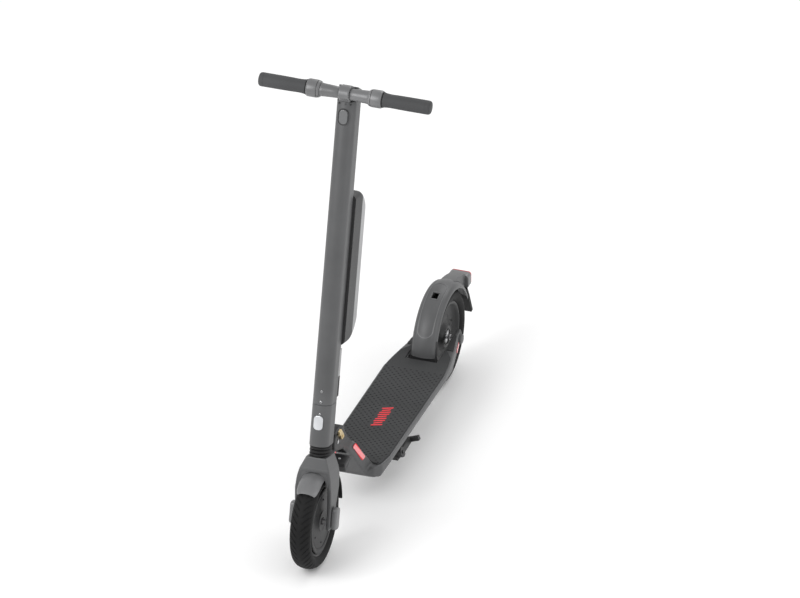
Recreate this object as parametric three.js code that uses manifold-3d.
// Electric kick scooter, in millimetres: +Z up, +Y towards the rear, +X towards the rider's left.
// The origin is on the ground under the middle of the scooter's box.
import * as THREE from "three";
import { ConvexGeometry } from "three/addons/geometries/ConvexGeometry.js";
import { mergeVertices } from "three/addons/utils/BufferGeometryUtils.js";
import Module from "manifold-3d";

const wasm = await Module();
wasm.setup();

// ---- driving dimensions ----
const LENGTH = 1166;
const WHEELBASE = 890;
const WHEEL_R = 114.3; // 9 inch tyre
const TYRE_HALF_W = 25;
const RIM_R = 84;
const GAP = 0.3; // between pieces that touch
const LEAN = THREE.MathUtils.degToRad(13.9); // of the steering axis

const FRONT_AXLE_Y = WHEEL_R - LENGTH / 2;
const REAR_AXLE_Y = FRONT_AXLE_Y + WHEELBASE;

// Stations up the steering column, measured from the front axle along the steering axis.
const AXIS_V = 7; // the steering axis passes this far behind the axle
const CROWN_TOP = 155;
const BOOT_TOP = 180;
const HEAD_TOP = 281;
const STEM_TOP = 1008;
const BAR_W = 1028;
const BAR_V = -27;
const STEM_HALF_W = 23.5;
const STEM_HALF_D = 36;
const STEM_WALL = 3;

const BAR_HALF = 207.5;
const BAR_R = 11;
const SLEEVE_END = 59;
const COLLAR_END = 93;
const COLLAR_R = 21;
const GRIP_R = 16.5;

const BATTERY_LOW = 414;
const BATTERY_HIGH = 774;
const BATTERY_BACK = 114;
const BATTERY_SPLIT = 78;
const BATTERY_HALF_W = 30;

const DECK_TOP = 120;
const DECK_LOW = 76;
const DECK_HALF_W = 76;
const RIM_LOW = 107; // the deck sides are upright down to here, and slope in below
const DECK_LOW_HALF_W = 57;
const NOSE_Y = FRONT_AXLE_Y + 256;
const DECK_REAR_Y = REAR_AXLE_Y - 134;
const ARM_END_Y = REAR_AXLE_Y + 24;
const ARM_INNER_X = 35;
const CAVITY_HALF_W = 50;
const CAVITY_FRONT = NOSE_Y + 95;
const CAVITY_REAR = DECK_REAR_Y - 20;
const MAT_THICK = 4;

const HINGE_Y = FRONT_AXLE_Y + 112;
const HINGE_Z = 262;
const HINGE_R = 17;
const NECK_HALF_W = 19;
const TONGUE_HALF_W = 11;

const FENDER_R = 131;
const FENDER_THICK = 3;
const FENDER_HALF_W = 33;

// ---- materials ----
const paint = (color, roughness, metalness) => new THREE.MeshStandardMaterial({ color, roughness, metalness });
const BODY_GREY = paint(0x67686a, 0.5, 0.3);
const LIGHT_GREY = paint(0x8a8b8c, 0.4, 0.4);
const DARK_PLASTIC = paint(0x2c2d2e, 0.6, 0);
const BLACK_RUBBER = paint(0x1c1c1d, 0.85, 0);
const MAT_RUBBER = paint(0x454647, 0.9, 0);
const GRIP_RUBBER = paint(0x505152, 0.8, 0);
const STEEL = paint(0xb8b9ba, 0.3, 1);
const BRASS = paint(0xb08d45, 0.35, 1);
const SHELL_SILVER = paint(0x9a9b9c, 0.35, 0.5);
const RED = paint(0xd82433, 0.5, 0);
const PINK = paint(0xf08a90, 0.4, 0);
const CLEAR = paint(0xb5c0c6, 0.1, 0);
const COPPER = paint(0x9a5a35, 0.4, 1);

// ---- geometry helpers ----
// One closed surface with shared vertices and its faces pointing out.
function closed(geometry) {
  const plain = new THREE.BufferGeometry().setAttribute("position", geometry.getAttribute("position"));
  if (geometry.index) plain.setIndex(geometry.index);
  const merged = mergeVertices(plain, 1e-3);
  const p = merged.getAttribute("position");
  const index = [];
  let volume = 0;
  const corner = [new THREE.Vector3(), new THREE.Vector3(), new THREE.Vector3()];
  for (let i = 0; i < merged.index.count; i += 3) {
    const ids = [0, 1, 2].map((k) => merged.index.getX(i + k));
    if (new Set(ids).size < 3) continue;
    corner.forEach((c, k) => c.fromBufferAttribute(p, ids[k]));
    volume += corner[0].dot(corner[1].clone().cross(corner[2]));
    index.push(...ids);
  }
  if (volume < 0) index.reverse();
  merged.setIndex(index);
  return merged;
}

function solidOf(geometry) {
  const g = closed(geometry);
  const vertProperties = new Float32Array(g.getAttribute("position").array);
  const triVerts = new Uint32Array(g.index.array);
  return new wasm.Manifold(new wasm.Mesh({ numProp: 3, vertProperties, triVerts }));
}

function geometryOf(solid) {
  const m = solid.getMesh();
  const g = new THREE.BufferGeometry();
  g.setAttribute("position", new THREE.BufferAttribute(new Float32Array(m.vertProperties), 3));
  g.setIndex([...m.triVerts]);
  return g;
}

function combine(operation, first, others) {
  const solid = others.reduce((made, other) => made[operation](solidOf(other)), solidOf(first));
  return geometryOf(solid);
}
const cut = (first, ...others) => combine("subtract", first, others);
const join = (first, ...others) => combine("add", first, others);
const common = (first, ...others) => combine("intersect", first, others);

function shapeOf(points) {
  return new THREE.Shape(points.map(([a, b]) => new THREE.Vector2(a, b)));
}

function extruded(shape, depth, bevel, curveSegments) {
  return new THREE.ExtrudeGeometry(shape, {
    depth: depth - 2 * bevel,
    bevelEnabled: bevel > 0,
    bevelThickness: bevel,
    bevelSize: bevel,
    bevelOffset: -bevel,
    bevelSegments: bevel > 2 ? 2 : 1,
    curveSegments,
  }).translate(0, 0, bevel);
}

// A shape in (y, z) pushed along X, one in (x, z) pushed along Y, and one in (x, y) pushed along Z.
function alongX(shape, low, high, bevel = 0, segments = 6) {
  const turn = new THREE.Matrix4().makeBasis(
    new THREE.Vector3(0, 1, 0),
    new THREE.Vector3(0, 0, 1),
    new THREE.Vector3(1, 0, 0),
  );
  return extruded(shape, high - low, bevel, segments).applyMatrix4(turn).translate(low, 0, 0);
}
function alongY(shape, low, high, bevel = 0, segments = 6) {
  return extruded(shape, high - low, bevel, segments).rotateX(Math.PI / 2).translate(0, high, 0);
}
function alongZ(shape, low, high, bevel = 0, segments = 6) {
  return extruded(shape, high - low, bevel, segments).translate(0, 0, low);
}

// A profile of [radius, height] points turned about X or about Z.
function turned(profile, segments) {
  return new THREE.LatheGeometry(profile.map(([r, h]) => new THREE.Vector2(r, h)), segments);
}
const turnedX = (profile, segments = 32) => turned(profile, segments).rotateZ(-Math.PI / 2);
const turnedZ = (profile, segments = 32) => turned(profile, segments).rotateX(Math.PI / 2);

const ringProfile = (inner, outer, low, high) => [
  [inner, low],
  [outer, low],
  [outer, high],
  [inner, high],
  [inner, low],
];
const rodProfile = (r, low, high) => [
  [0, low],
  [r, low],
  [r, high],
  [0, high],
];
const rodX = (r, low, high, segments = 14) => turnedX(rodProfile(r, low, high), segments);
const rodZ = (r, low, high, segments = 14) => turnedZ(rodProfile(r, low, high), segments);
const ringX = (inner, outer, low, high, segments = 18) => turnedX(ringProfile(inner, outer, low, high), segments);
const ringZ = (inner, outer, low, high, segments = 18) => turnedZ(ringProfile(inner, outer, low, high), segments);

function box(x0, x1, y0, y1, z0, z1) {
  const g = new THREE.BoxGeometry(x1 - x0, y1 - y0, z1 - z0);
  return g.translate((x0 + x1) / 2, (y0 + y1) / 2, (z0 + z1) / 2);
}

// A rounded rectangle about (a, b), which is a stadium or a circle when the radius is the half width.
function roundedShape(halfA, halfB, r, a = 0, b = 0) {
  const s = new THREE.Shape();
  s.absarc(a + halfA - r, b + halfB - r, r, 0, Math.PI / 2);
  s.absarc(a - halfA + r, b + halfB - r, r, Math.PI / 2, Math.PI);
  s.absarc(a - halfA + r, b - halfB + r, r, Math.PI, 1.5 * Math.PI);
  s.absarc(a + halfA - r, b - halfB + r, r, 1.5 * Math.PI, 2 * Math.PI);
  s.closePath();
  return s;
}

// A band of a ring in (y, z); angles in degrees rise from the front (-Y) over the top to the rear.
function bandShape(inner, outer, from, to, y = 0, z = 0) {
  const a0 = Math.PI - THREE.MathUtils.degToRad(from);
  const a1 = Math.PI - THREE.MathUtils.degToRad(to);
  const s = new THREE.Shape();
  s.absarc(y, z, outer, a0, a1, true);
  s.absarc(y, z, inner, a1, a0, false);
  s.closePath();
  return s;
}

// ---- the scene graph ----
const scooter = new THREE.Group();
const front = new THREE.Group(); // origin at the front axle, local Z up the steering axis
front.position.set(0, FRONT_AXLE_Y, WHEEL_R);
front.rotation.x = -LEAN;
const rear = new THREE.Group(); // origin at the rear axle
rear.position.set(0, REAR_AXLE_Y, WHEEL_R);
scooter.add(front, rear);

function add(group, name, geometry, material) {
  const mesh = new THREE.Mesh(closed(geometry), material);
  mesh.geometry.computeVertexNormals();
  mesh.name = name;
  group.add(mesh);
  return mesh;
}

// Calls make(name suffix, sign) for the left (+X) and the right (-X) side.
function bothSides(make) {
  make("left", 1);
  make("right", -1);
}

// ---- wheels ----
function tyre(group, name) {
  const half = [
    [RIM_R, 19],
    [RIM_R + 7, TYRE_HALF_W - 1],
    [RIM_R + 17, TYRE_HALF_W],
    [WHEEL_R - 5, TYRE_HALF_W - 7],
    [WHEEL_R - 1, TYRE_HALF_W - 16],
  ];
  const mirrored = half.map(([r, x]) => [r, -x]).reverse();
  add(group, name, turnedX([...half, [WHEEL_R, 0], ...mirrored, half[0]], 36), BLACK_RUBBER);
}

// A fixed axle with its two hexagon nuts run up tight.
function axleWithNuts(r, halfLength, nutR, nutInner, nutOuter) {
  const nuts = [rodX(nutR, nutInner, nutOuter, 6), rodX(nutR, -nutOuter, -nutInner, 6)];
  return join(rodX(r, -halfLength, halfLength), ...nuts);
}

function hubMotor() {
  const drumInner = 78;
  const coverX = 17;
  const coverThick = 4;
  const shaftR = 6;
  const drum = [
    [drumInner, -16],
    [RIM_R - 2 * GAP, -18.5],
    [RIM_R - 2 * GAP, 18.5],
    [drumInner, 16],
    [drumInner, -16],
  ];
  tyre(front, "front_tyre");
  add(front, "hub_motor_shell", turnedX(drum, 30), DARK_PLASTIC);
  bothSides((side, sign) => {
    const inner = coverX * sign;
    const outer = (coverX + coverThick) * sign;
    add(front, `hub_cover_${side}`, ringX(shaftR + 3, drumInner - 1, inner, outer, 28), DARK_PLASTIC);
  });
  add(front, "motor_stator", ringX(shaftR + GAP, 70, -13, 13, 24), COPPER);
  add(front, "front_axle", axleWithNuts(shaftR, 50, 9, 44.5, 49.5), STEEL);
}

function rearWheel() {
  const boltR = 5;
  tyre(rear, "rear_tyre");
  const rim = [
    [20, -17],
    [26, -17],
    [34, -6],
    [70, -6],
    [78, -18.5],
    [RIM_R - 2 * GAP, -18.5],
    [RIM_R - 2 * GAP, 18.5],
    [78, 18.5],
    [70, 6],
    [34, 6],
    [26, 17],
    [20, 17],
    [20, -17],
  ];
  add(rear, "rear_rim", turnedX(rim, 28), DARK_PLASTIC);
  add(rear, "rear_axle", axleWithNuts(boltR, 54, 10, 48.5, 53), STEEL);
  bothSides((side, sign) => {
    add(rear, `rear_bearing_${side}`, ringX(boltR + GAP, 20 - GAP, 8 * sign, 16 * sign), STEEL);
  });
}

// ---- fork and suspension ----
const LEG_INNER = 34;
const LEG_OUTER = 44;
const SLIDER_R = 10;

function fork() {
  const faceOn = shapeOf([
    [-24, CROWN_TOP],
    [-36, CROWN_TOP - 28],
    [-41, CROWN_TOP - 48],
    [-LEG_OUTER, 78],
    [-LEG_OUTER, -10],
    [-LEG_OUTER + 6, -20],
    [-LEG_INNER, -20],
    [-LEG_INNER, 96],
    [LEG_INNER, 96],
    [LEG_INNER, -20],
    [LEG_OUTER - 6, -20],
    [LEG_OUTER, -10],
    [LEG_OUTER, 78],
    [41, CROWN_TOP - 48],
    [36, CROWN_TOP - 28],
    [24, CROWN_TOP],
  ]);
  const sideOn = shapeOf([
    [-25, CROWN_TOP],
    [-31, CROWN_TOP - 30],
    [-30, 88],
    [-20, 40],
    [-17, -12],
    [-8, -20],
    [8, -20],
    [17, -12],
    [20, 40],
    [34, 88],
    [40, CROWN_TOP - 30],
    [38, CROWN_TOP],
  ]);
  const body = common(alongY(faceOn, -60, 60), alongX(sideOn, -60, 60));
  const tunnel = rodX(122.6, -30, 30, 40);
  const axleHole = rodX(6.3, -60, 60, 16);
  const sliderHole = rodZ(SLIDER_R + GAP, CROWN_TOP - 5, CROWN_TOP + 10).translate(0, AXIS_V, 0);
  add(front, "fork", cut(body, tunnel, axleHole, sliderHole), BODY_GREY);
  add(front, "fork_slider", rodZ(SLIDER_R, CROWN_TOP - 4.7, 240).translate(0, AXIS_V, 0), STEEL);
  bothSides((side, sign) => {
    const inner = (LEG_OUTER + GAP) * sign;
    const outer = (LEG_OUTER + 13) * sign;
    const block = alongX(roundedShape(13, 26, 6, 0, 11), Math.min(inner, outer), Math.max(inner, outer), 2, 3);
    const pocketEnd = (LEG_OUTER + 9) * sign;
    const pocket = rodX(11, Math.min(pocketEnd, inner - sign), Math.max(pocketEnd, inner - sign));
    add(front, `fork_cover_${side}`, cut(block, pocket), LIGHT_GREY);
  });
}

function frontFenders() {
  const hood = alongX(bandShape(118, 122, 40, 108), -29, 29, 1, 8);
  add(front, "front_fender", hood, LIGHT_GREY);
  add(front, "front_mud_flap", alongX(bandShape(118.5, 121.5, 112, 168), -27, 27, 0.8, 6), BLACK_RUBBER);
}

class CoilCurve extends THREE.Curve {
  constructor(radius, low, high, turns) {
    super();
    Object.assign(this, { radius, low, high, turns });
  }
  getPoint(t, target = new THREE.Vector3()) {
    const a = t * this.turns * 2 * Math.PI;
    const z = this.low + t * (this.high - this.low);
    return target.set(this.radius * Math.cos(a), this.radius * Math.sin(a), z);
  }
}

function coil(radius, wireR, low, high, turns) {
  const curve = new CoilCurve(radius, low + wireR, high - wireR, turns);
  const section = roundedShape(wireR, wireR, wireR);
  return new THREE.ExtrudeGeometry(section, { extrudePath: curve, steps: turns * 8, curveSegments: 1 });
}

function suspension() {
  const ribs = [];
  const low = CROWN_TOP + GAP;
  const pitch = (BOOT_TOP - low) / 3;
  for (let i = 0; i < 3; i += 1) {
    ribs.push([22, low + i * pitch], [24.5, low + (i + 0.25) * pitch], [24.5, low + (i + 0.7) * pitch]);
  }
  const profile = [[18, low], ...ribs, [22, BOOT_TOP], [18, BOOT_TOP], [18, low]];
  const boot = turnedZ(profile, 20).scale(1, 1.4, 1).translate(0, AXIS_V, 0);
  add(front, "suspension_boot", boot, BLACK_RUBBER);
  const spring = coil(13.4, 1.6, low + GAP, BOOT_TOP + 1.4, 4).translate(0, AXIS_V, 0);
  add(front, "suspension_spring", spring, STEEL);
}

// ---- head: what folds back on the deck but doesn't steer ----
const STEERER_R = 14;
const HEAD_BORE_R = 19;

function stadium(offset = 0) {
  const r = STEM_HALF_W + offset;
  return roundedShape(r, STEM_HALF_D + offset, r, 0, AXIS_V);
}

function stadiumTube(low, high, outerOffset, innerOffset) {
  const outer = alongZ(stadium(outerOffset), low, high, 0, 5);
  return cut(outer, alongZ(stadium(innerOffset), low - 1, high + 1, 0, 5));
}

// The hinge in the front group's own frame.
const toFrame = new THREE.Matrix4().makeRotationX(-LEAN).setPosition(0, FRONT_AXLE_Y, WHEEL_R);
const HINGE_IN_FRONT = new THREE.Vector3(0, HINGE_Y, HINGE_Z).applyMatrix4(toFrame.invert());

function head() {
  const v = HINGE_IN_FRONT.y;
  const w = HINGE_IN_FRONT.z;
  const low = BOOT_TOP + 0.8;
  const high = HEAD_TOP - 0.4;
  const shell = alongZ(stadium(), low, high, 0, 5);
  const tongueShape = new THREE.Shape();
  tongueShape.moveTo(20, low + 4);
  tongueShape.lineTo(46, low + 2);
  tongueShape.absarc(v, w, HINGE_R, (-5 / 6) * Math.PI, Math.PI / 2, false);
  tongueShape.lineTo(20, w + 50);
  tongueShape.closePath();
  const tongue = alongX(tongueShape, -TONGUE_HALF_W, TONGUE_HALF_W, 2);
  const bore = rodZ(HEAD_BORE_R, low - 1, high + 1, 28).translate(0, AXIS_V, 0);
  const pinHole = rodX(5.3, -40, 40).translate(0, v, w);
  const badgePocket = alongY(roundedShape(11.4, 17.4, 9.5, 0, 239), -40, -27.5, 0, 3);
  add(front, "head_tube", cut(join(shell, tongue), bore, pinHole, badgePocket), BODY_GREY);
  add(front, "fold_hinge_pin", rodX(5, -NECK_HALF_W - 1, NECK_HALF_W + 1).translate(0, v, w), STEEL);
  add(front, "badge", alongY(roundedShape(11, 17, 9.5, 0, 239), -31, -27.8, 1, 3), STEEL);
  const bearingHeights = [185, 266];
  ["lower", "upper"].forEach((place, i) => {
    const ring = ringZ(STEERER_R + GAP, HEAD_BORE_R - GAP, bearingHeights[i], bearingHeights[i] + 10, 24);
    add(front, `${place}_headset_bearing`, ring.translate(0, AXIS_V, 0), STEEL);
  });
}

// ---- steering column ----
function steeringColumn() {
  const steererLow = BOOT_TOP + 2;
  const foot = HEAD_TOP + 34;
  const tubeOutside = rodZ(STEERER_R, steererLow, foot, 24).translate(0, AXIS_V, 0);
  const plug = alongZ(stadium(-STEM_WALL - GAP), HEAD_TOP + 0.6, foot, 0, 5);
  const bore = rodZ(SLIDER_R + GAP, steererLow - 1, foot + 1, 24).translate(0, AXIS_V, 0);
  add(front, "steerer_tube", cut(join(tubeOutside, plug), bore), STEEL);

  const tube = stadiumTube(HEAD_TOP + 0.2, STEM_TOP, 0, -STEM_WALL);
  const lightHole = alongY(roundedShape(13.4, 20.4, 13.4, 0, 972), -40, -10, 0, 4);
  add(front, "stem_tube", cut(tube, lightHole), BODY_GREY);

  add(front, "controller", box(-15, 15, AXIS_V - 24, AXIS_V + 24, 350, 450), DARK_PLASTIC);
  add(front, "internal_battery", box(-16, 16, AXIS_V - 22, AXIS_V + 22, 470, 930), DARK_PLASTIC);
}

function chargePort() {
  const low = HEAD_TOP + 4;
  const high = HEAD_TOP + 54;
  const back = AXIS_V + STEM_HALF_D;
  const cap = alongZ(roundedShape(18, 13, 7, 0, back + 1), low, high, 1.5, 3);
  const clear = alongZ(stadium(GAP), low - 10, high + 10, 0, 5);
  add(front, "charge_port_cap", cut(cap, clear), BLACK_RUBBER);
}

function headlight() {
  const bezel = alongY(roundedShape(13, 20, 13, 0, 972), -31, -16, 1, 4);
  const opening = alongY(roundedShape(10.3, 17.3, 10.3, 0, 972), -40, -22, 0, 4);
  add(front, "headlight_bezel", cut(bezel, opening), DARK_PLASTIC);
  add(front, "headlight_lens", alongY(roundedShape(10, 17, 10, 0, 972), -30, -22.3, 1, 4), CLEAR);
}

// ---- external battery ----
function externalBattery() {
  const back = BATTERY_BACK;
  const boat = shapeOf([
    [26, BATTERY_LOW + 4],
    [62, BATTERY_LOW],
    [84, BATTERY_LOW + 10],
    [104, BATTERY_LOW + 42],
    [back, BATTERY_LOW + 85],
    [back, BATTERY_HIGH - 80],
    [105, BATTERY_HIGH - 42],
    [85, BATTERY_HIGH - 12],
    [60, BATTERY_HIGH],
    [26, BATTERY_HIGH],
  ]);
  const section = roundedShape(BATTERY_HALF_W, 47, 11, 0, back - 47);
  const body = common(alongX(boat, -60, 60), alongZ(section, BATTERY_LOW - 10, BATTERY_HIGH + 10, 0, 4));
  const stem = alongZ(stadium(0.4), BATTERY_LOW - 20, BATTERY_HIGH + 20, 0, 5);
  const behind = box(-60, 60, BATTERY_SPLIT - GAP / 2, 200, 300, 900);
  const ahead = box(-60, 60, 0, BATTERY_SPLIT + GAP / 2, 300, 900);
  add(front, "battery_hull", cut(body, stem, behind), DARK_PLASTIC);
  add(front, "battery_rear_shell", cut(body, ahead), SHELL_SILVER);
}

// ---- handlebar ----
function atBar(geometry) {
  return geometry.translate(0, BAR_V, BAR_W);
}

const DASH_TILT = Math.atan2(25, 57);
const DASH_V = 12;
const BUTTON_Y = 21;
const DASH_W = 1033.6;
const CLAMP_HALF_W = 13;

function barClamp() {
  const outline = new THREE.Shape();
  outline.moveTo(43, STEM_TOP + GAP);
  outline.lineTo(43, 1020);
  outline.lineTo(-14, 1045);
  outline.absarc(BAR_V, BAR_W, 18.5, THREE.MathUtils.degToRad(60), THREE.MathUtils.degToRad(200), false);
  outline.lineTo(-29, STEM_TOP + GAP);
  outline.closePath();
  const band = alongX(outline, -CLAMP_HALF_W, CLAMP_HALF_W, 1.5);
  const block = common(
    alongX(outline, -30, 30),
    alongZ(stadium(), STEM_TOP + GAP, 1060, 0, 5),
    box(-40, 40, -4, 60, 1000, 1070),
  );
  const barHole = atBar(rodX(BAR_R + GAP, -60, 60, 24));
  const sleeveRoom = [-1, 1].map((side) =>
    atBar(rodX(16.3, Math.min(CLAMP_HALF_W * side, 60 * side), Math.max(CLAMP_HALF_W * side, 60 * side), 24)),
  );
  const dashPocket = onDash(box(-10.3, 10.3, -22.3, 12.3, -3, 6));
  const buttonHole = onDash(rodZ(6.3, -6, 6).translate(0, BUTTON_Y, 0));
  add(front, "bar_clamp", cut(join(band, block), barHole, ...sleeveRoom, dashPocket, buttonHole), LIGHT_GREY);
  add(front, "display_lens", onDash(box(-10, 10, -22, 12, -2.6, 0.4)), CLEAR);
  add(front, "power_button", onDash(rodZ(6, -4, 1.4, 20).translate(0, BUTTON_Y, 0)), RED);
}

// The dashboard's own frame: local Z out of its sloped face, local Y down the slope.
function onDash(geometry) {
  return geometry.rotateX(-DASH_TILT).translate(0, DASH_V, DASH_W);
}

function handlebar() {
  const sleeves = [];
  bothSides((side, sign) => {
    const mirror = (profile) => profile.map(([r, x]) => [r, x * sign]);
    const inner = BAR_R + GAP;
    const sleeve = mirror([
      [BAR_R - 2, CLAMP_HALF_W + 0.5],
      [13.2, CLAMP_HALF_W + 0.5],
      [16, SLEEVE_END - GAP],
      [BAR_R - 2, SLEEVE_END - GAP],
      [BAR_R - 2, CLAMP_HALF_W + 0.5],
    ]);
    const collar = mirror([
      [inner, SLEEVE_END],
      [19, SLEEVE_END],
      [20.4, SLEEVE_END + 5],
      [19.6, SLEEVE_END + 6],
      [COLLAR_R, SLEEVE_END + 7.5],
      [COLLAR_R, COLLAR_END - 4],
      [19, COLLAR_END],
      [inner, COLLAR_END],
      [inner, SLEEVE_END],
    ]);
    const grip = mirror([
      [inner, COLLAR_END + GAP],
      [17.2, COLLAR_END + GAP],
      [15.8, COLLAR_END + 10],
      [GRIP_R, COLLAR_END + 32],
      [GRIP_R, BAR_HALF - 7],
      [GRIP_R - 3, BAR_HALF - 1.5],
      [GRIP_R - 8, BAR_HALF],
      [0, BAR_HALF],
      [0, BAR_HALF - 3.5],
      [inner, BAR_HALF - 3.5],
      [inner, COLLAR_END + GAP],
    ]);
    sleeves.push(turnedX(sleeve, 20));
    const leverRoom = atLever(rodX(6.4, -20, 20)).translate(((SLEEVE_END + COLLAR_END) / 2) * sign, 0, 0);
    add(front, `collar_${side}`, cut(atBar(turnedX(collar, 20)), leverRoom), LIGHT_GREY);
    add(front, `grip_${side}`, atBar(turnedX(grip, 20)), GRIP_RUBBER);
    thumbLever(sign > 0 ? "brake_lever" : "throttle_lever", ((SLEEVE_END + COLLAR_END) / 2) * sign);
  });
  const bar = rodX(BAR_R, -BAR_HALF + 4, BAR_HALF - 4, 20);
  add(front, "handlebar", atBar(join(bar, ...sleeves)), LIGHT_GREY);
}

// Thumb levers turn on a short pin under the rear of each collar.
const LEVER_V = BAR_V + 19;
const LEVER_W = BAR_W - 14;
function atLever(geometry) {
  return geometry.translate(0, LEVER_V, LEVER_W);
}

function thumbLever(name, x) {
  const outline = new THREE.Shape();
  outline.absarc(0, 0, 6, THREE.MathUtils.degToRad(100), THREE.MathUtils.degToRad(280), false);
  outline.lineTo(22, -14);
  outline.lineTo(30, -14);
  outline.lineTo(31, -9);
  outline.lineTo(18, -2);
  outline.closePath();
  add(front, name, atLever(alongX(outline, x - 10, x + 10, 1.5, 5)), DARK_PLASTIC);
}

// ---- deck ----
const ALONG = (y) => FRONT_AXLE_Y + y; // a place measured back from the front axle

function mirroredPlan(points) {
  return shapeOf([...points, ...points.map(([x, y]) => [-x, y]).reverse()]);
}

// The deck in plan, its right-hand half mirrored from the left, round the slot for the rear wheel.
function deckPlan(inset, armEnd) {
  const outer = [
    [37, NOSE_Y + inset],
    [55, NOSE_Y + 7 + inset],
    [69 - inset * 0.8, NOSE_Y + 25 + inset * 0.6],
    [DECK_HALF_W - inset, NOSE_Y + 62 + inset],
    [DECK_HALF_W - inset, REAR_AXLE_Y - 180],
    [71.5 - inset, REAR_AXLE_Y - 140],
    [66 - inset, REAR_AXLE_Y - 105],
    [56 - inset, REAR_AXLE_Y - 50],
    [48.2, REAR_AXLE_Y - 12],
    [48.2, REAR_AXLE_Y + 11],
    [41, ARM_END_Y],
  ].filter(([, y]) => y <= armEnd);
  const innerX = ARM_INNER_X + inset * 0.6;
  const end = Math.min(armEnd, ARM_END_Y);
  return mirroredPlan([...outer, [innerX, end], [innerX, DECK_REAR_Y - inset * 0.6]]);
}

// The fairing that rises from the nose of the deck to the neck, as [x, y from the front axle, z].
const FLARE_TOP = [21, 222, 204];
const FLARE_BACK = [46, 277, 121];
const FLARE_FRONT = [38, 258, 98];
const FLARE_POINTS = [FLARE_TOP, FLARE_BACK, FLARE_FRONT, [9, 200, 199], [2, 312, 121]];

function flare(grow = 0) {
  const points = FLARE_POINTS.flatMap(([x, y, z]) =>
    [1, -1].map((side) => new THREE.Vector3(side * (x + grow), ALONG(y + (y > 262 ? grow : -grow)), z + grow)),
  );
  return new ConvexGeometry(points);
}

function deck() {
  const sideOn = shapeOf([
    [NOSE_Y, 100],
    [NOSE_Y + 2, 110],
    [NOSE_Y + 8, 117],
    [NOSE_Y + 17, DECK_TOP],
    [REAR_AXLE_Y - 66, DECK_TOP],
    [REAR_AXLE_Y - 26, 127],
    [ARM_END_Y, 127],
    [ARM_END_Y, 106],
    [REAR_AXLE_Y, 99],
    [REAR_AXLE_Y - 90, 92],
    [DECK_REAR_Y - 4, DECK_LOW],
    [NOSE_Y + 90, DECK_LOW],
    [NOSE_Y + 32, 86],
    [NOSE_Y + 4, 93],
  ]);
  const across = shapeOf([
    [-DECK_HALF_W, 140],
    [-DECK_HALF_W, RIM_LOW],
    [-DECK_LOW_HALF_W, DECK_LOW],
    [DECK_LOW_HALF_W, DECK_LOW],
    [DECK_HALF_W, RIM_LOW],
    [DECK_HALF_W, 140],
  ]);
  const plan = alongZ(deckPlan(0, ARM_END_Y), DECK_LOW - 10, 140);
  const cavity = box(-CAVITY_HALF_W, CAVITY_HALF_W, CAVITY_FRONT, CAVITY_REAR, 60, DECK_TOP - 4);
  const axleHole = rodX(5.3, -90, 90, 16).translate(0, REAR_AXLE_Y, WHEEL_R);
  const shell = common(plan, alongX(sideOn, -90, 90), alongY(across, NOSE_Y - 1, ARM_END_Y + 1));
  add(scooter, "deck_shell", cut(join(shell, flare()), cavity, axleHole), BODY_GREY);
  const cover = alongZ(
    roundedShape(CAVITY_HALF_W - GAP, (CAVITY_REAR - CAVITY_FRONT) / 2 - GAP, 2, 0, (CAVITY_REAR + CAVITY_FRONT) / 2),
    DECK_LOW + 0.5,
    DECK_LOW + 3.5,
    0,
    1,
  );
  add(scooter, "deck_underside_cover", cover, DARK_PLASTIC);
}

function mat() {
  const matEnd = REAR_AXLE_Y - 70;
  const plan = alongZ(deckPlan(5, matEnd), DECK_TOP + GAP, DECK_TOP + MAT_THICK, 0.6);
  const frontNotch = alongZ(
    shapeOf([
      [-80, ALONG(200)],
      [80, ALONG(200)],
      [80, ALONG(274)],
      [47, ALONG(276)],
      [0, ALONG(314)],
      [-47, ALONG(276)],
      [-80, ALONG(274)],
    ]),
    DECK_TOP - 10,
    DECK_TOP + 20,
  );
  add(scooter, "deck_mat", cut(plan, frontNotch, flare(0.5)), MAT_RUBBER);
}

// A thin rounded bar whose back lies on a sloping face: centre, direction along it and outward normal.
function barOnFace(centre, along, normal, halfLength, halfHeight, thick) {
  const x = along.clone().normalize();
  const z = normal.clone().normalize();
  const y = z.clone().cross(x).normalize();
  const turn = new THREE.Matrix4().makeBasis(x, y, z).setPosition(centre);
  return alongZ(roundedShape(halfLength, halfHeight, halfHeight * 0.6), GAP, thick, 0.5, 3).applyMatrix4(turn);
}

function reflectors() {
  bothSides((side, sign) => {
    const p = (x, y, z) => new THREE.Vector3(x * sign, ALONG(y), z);
    const top = p(...FLARE_TOP);
    const back = p(...FLARE_BACK);
    const foot = p(...FLARE_FRONT);
    const edge = back.clone().sub(top);
    const normal = foot.clone().sub(top).cross(edge).multiplyScalar(sign);
    const inward = edge.clone().cross(normal).multiplyScalar(sign).normalize();
    const centre = top.clone().lerp(back, 0.35).addScaledVector(inward, 8);
    const bar = barOnFace(centre, edge, normal, 29, 5, 2);
    add(scooter, `nose_reflector_${side}`, bar, PINK);

    const armA = new THREE.Vector3(56 * sign, REAR_AXLE_Y - 50, 106);
    const armB = new THREE.Vector3(48.2 * sign, REAR_AXLE_Y - 12, 110);
    const run = armB.clone().sub(armA);
    const outward = new THREE.Vector3(run.y, -run.x, 0).multiplyScalar(sign);
    const middle = armA.clone().lerp(armB, 0.5);
    add(scooter, `arm_reflector_${side}`, barOnFace(middle, run, outward, 17, 4.5, 1.8), PINK);
  });
}

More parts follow.
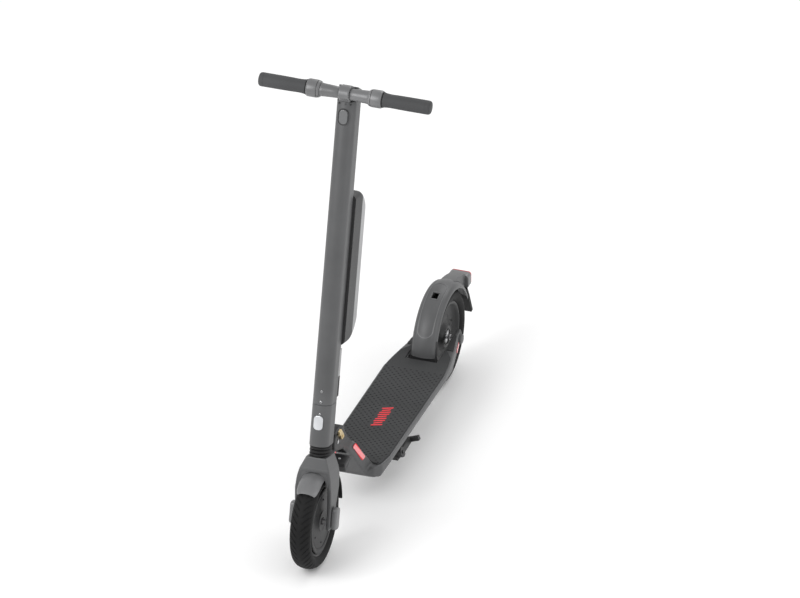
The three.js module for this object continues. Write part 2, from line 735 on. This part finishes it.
// ---- fold mechanism ----
function neck() {
  const hinge = [HINGE_Y, HINGE_Z];
  const outline = new THREE.Shape();
  outline.moveTo(ALONG(178), FLARE_TOP[2] - 9.5);
  outline.lineTo(ALONG(190), FLARE_TOP[2] - 9.5);
  outline.lineTo(ALONG(190), FLARE_TOP[2] + GAP);
  outline.lineTo(ALONG(217), FLARE_TOP[2] + GAP);
  outline.lineTo(ALONG(184), 238);
  outline.absarc(ALONG(146), 270, 15, 0, THREE.MathUtils.degToRad(90), false);
  outline.absarc(...hinge, 23, THREE.MathUtils.degToRad(90), THREE.MathUtils.degToRad(250), false);
  outline.lineTo(ALONG(150), 222);
  outline.closePath();
  const slotOutline = shapeOf(
    [
      [-110, 95],
      [-110, 35],
      [-6, -19],
      [8, -18.5],
      [19, -9],
      [40, 25],
      [64, 95],
    ].map(([y, z]) => [HINGE_Y + y, HINGE_Z + z]),
  );
  const slotHalf = TONGUE_HALF_W + 0.5;
  const slot = alongX(slotOutline, -slotHalf, slotHalf);
  const round = rodX(HINGE_R + 1, -slotHalf, slotHalf, 24).translate(0, ...hinge);
  const pinHole = rodX(5.3, -60, 60).translate(0, ...hinge);
  const body = alongX(outline, -NECK_HALF_W, NECK_HALF_W, 2, 5);
  add(scooter, "neck_bracket", cut(body, slot, round, pinHole), DARK_PLASTIC);
}

const LATCH_Y = ALONG(131);
const LATCH_Z = 268;
const PEDAL_Y = ALONG(176);
const PEDAL_Z = 184;

function latchAndPedal() {
  const hook = new THREE.Shape();
  hook.absarc(LATCH_Y, LATCH_Z, 8, THREE.MathUtils.degToRad(-150), THREE.MathUtils.degToRad(60), false);
  hook.lineTo(LATCH_Y - 8, LATCH_Z + 22);
  hook.lineTo(LATCH_Y - 20, LATCH_Z + 20);
  hook.lineTo(LATCH_Y - 21, LATCH_Z + 10);
  hook.lineTo(LATCH_Y - 13, LATCH_Z + 12);
  hook.closePath();
  add(scooter, "latch_hook", alongX(hook, NECK_HALF_W + GAP, NECK_HALF_W + 6, 0.8), BRASS);

  const pedal = shapeOf([
    [PEDAL_Y + 5, PEDAL_Z - 5],
    [PEDAL_Y + 5, PEDAL_Z + 5],
    [PEDAL_Y - 6, PEDAL_Z + 9],
    [PEDAL_Y - 38, PEDAL_Z + 6],
    [PEDAL_Y - 40, PEDAL_Z - 2],
    [PEDAL_Y - 34, PEDAL_Z - 16],
    [PEDAL_Y - 26, PEDAL_Z - 16],
    [PEDAL_Y - 10, PEDAL_Z - 7],
  ]);
  add(scooter, "fold_pedal", alongX(pedal, -28, 28, 2), DARK_PLASTIC);
}

// ---- kickstand, in a frame whose X is the pivot ----
const STAND_SPLAY = THREE.MathUtils.degToRad(20);
const STAND_X = 50;
const STAND_Y = ALONG(445);
const STAND_Z = 57;
const STAND_LENGTH = 66;

function kickstand() {
  const place = new THREE.Matrix4().makeRotationY(-STAND_SPLAY).setPosition(STAND_X, STAND_Y, STAND_Z);
  const put = (geometry) => geometry.applyMatrix4(place);
  const block = box(STAND_X - 14, STAND_X + 6, STAND_Y - 15, STAND_Y + 15, STAND_Z - 12, DECK_LOW - GAP);
  const outside = put(box(1, 40, -40, 40, -60, 60));
  const pin = put(rodX(4, -4, 15));
  add(scooter, "kickstand_bracket", join(cut(block, outside), pin), DARK_PLASTIC);

  const hub = rodX(12, 1.6, 13, 24);
  const leg = join(
    hub,
    alongX(shapeOf([[0, 8], [0, -8], [STAND_LENGTH, -6], [STAND_LENGTH, 6]]), 3, 12, 1),
    box(3, 32, STAND_LENGTH - 8, STAND_LENGTH + 2, -5, 5),
  );
  add(scooter, "kickstand_leg", put(cut(leg, rodX(4.3, -5, 30))), DARK_PLASTIC);
}

// ---- rear fender, which is also the foot brake ----
function domedShell(outerR, thick, halfW, from, to) {
  const ringOf = (r) => [
    [r - 14, halfW],
    [r - 5, halfW - 3],
    [r - 1, halfW - 12],
    [r, 0],
    [r - 1, 12 - halfW],
    [r - 5, 3 - halfW],
    [r - 14, -halfW],
  ];
  const inner = ringOf(outerR - thick)
    .map(([r, x]) => [r + (r < outerR - thick - 10 ? thick : 0), x * ((halfW - thick) / halfW)])
    .reverse();
  const outer = ringOf(outerR);
  const ring = turnedX([...outer, ...inner, outer[0]], 40);
  return common(ring, alongX(bandShape(10, outerR + 20, from, to), -halfW - 5, halfW + 5, 0, 6));
}

function rearFender() {
  const shell = domedShell(FENDER_R, FENDER_THICK, FENDER_HALF_W, 5, 158);
  const tail = alongX(
    shapeOf([
      [52, 119],
      [80, 112],
      [126, 97],
      [126, 64],
      [114, 63],
      [100, 80],
    ]),
    -17,
    17,
    1.5,
  );
  const tyreRoom = rodX(FENDER_R - FENDER_THICK - 0.5, -60, 60, 60);
  const latchAngle = THREE.MathUtils.degToRad(16);
  const latchHole = box(-8, 8, -10, 10, 100, 150).rotateX(latchAngle);
  const plate = cut(tail, tyreRoom);
  add(rear, "rear_fender", cut(join(shell, plate), latchHole), BODY_GREY);
  const light = alongY(roundedShape(25, 17, 9, 0, 75), 126 + GAP, 146, 2, 3);
  add(rear, "tail_light_housing", light, LIGHT_GREY);
  add(rear, "tail_light_lens", alongY(roundedShape(22, 14, 7, 0, 75), 146 + GAP, 150, 1, 3), RED);
  const flap = shapeOf([
    [119, 61],
    [125.5, 61],
    [137, 40],
    [161.6, -14],
    [153, -17],
    [132, 27],
  ]);
  add(rear, "rear_mud_flap", alongX(flap, -24, 24, 1), BLACK_RUBBER);
  const pad = alongX(bandShape(FENDER_R - FENDER_THICK - 6.5, FENDER_R - FENDER_THICK - 1.2, 103, 122), -12, 12, 0, 6);
  add(rear, "brake_pad", pad, BLACK_RUBBER);
}

// ---- the whole scooter ----
hubMotor();
rearWheel();
fork();
frontFenders();
suspension();
head();
steeringColumn();
chargePort();
headlight();
externalBattery();
barClamp();
handlebar();
deck();
mat();
reflectors();
neck();
latchAndPedal();
kickstand();
rearFender();

export default scooter;
